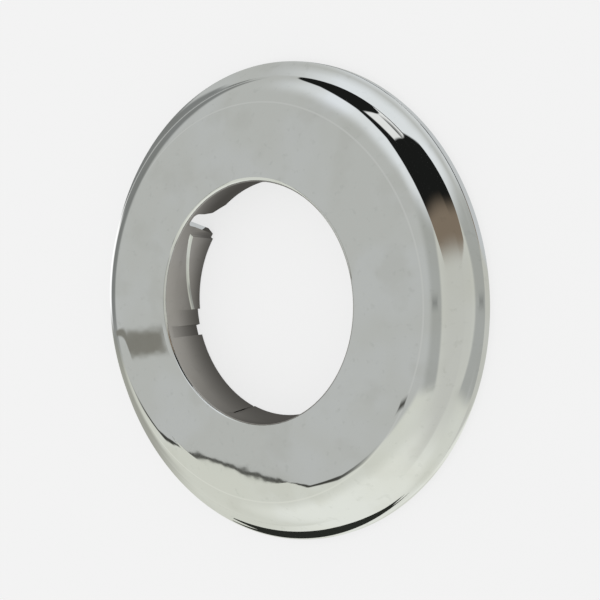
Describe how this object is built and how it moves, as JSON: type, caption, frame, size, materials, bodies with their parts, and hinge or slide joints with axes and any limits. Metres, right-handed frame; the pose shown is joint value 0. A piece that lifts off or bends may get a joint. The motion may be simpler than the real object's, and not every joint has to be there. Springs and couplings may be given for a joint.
{
  "type": "pipe rosette",
  "caption": "Round bright-plated cover ring with a rounded shoulder, flared flange and split spring collar, hiding the wall hole round a waste pipe.",
  "frame": {"origin": "on the bore's axis, in the plane of the rim's flat back edge that meets the wall", "axes": "+Z along the bore, out of the wall towards the bright face; +Y points away from the fine slit's side, towards the top finger"},
  "size_m": [0.065, 0.065, 0.0067],
  "materials": {
    "bright_plating": "polished bright plating on moulded plastic, faint flow marks"
  },
  "bodies": {
    "root": {"rosette": "bright_plating"}
  },
  "joints": []
}
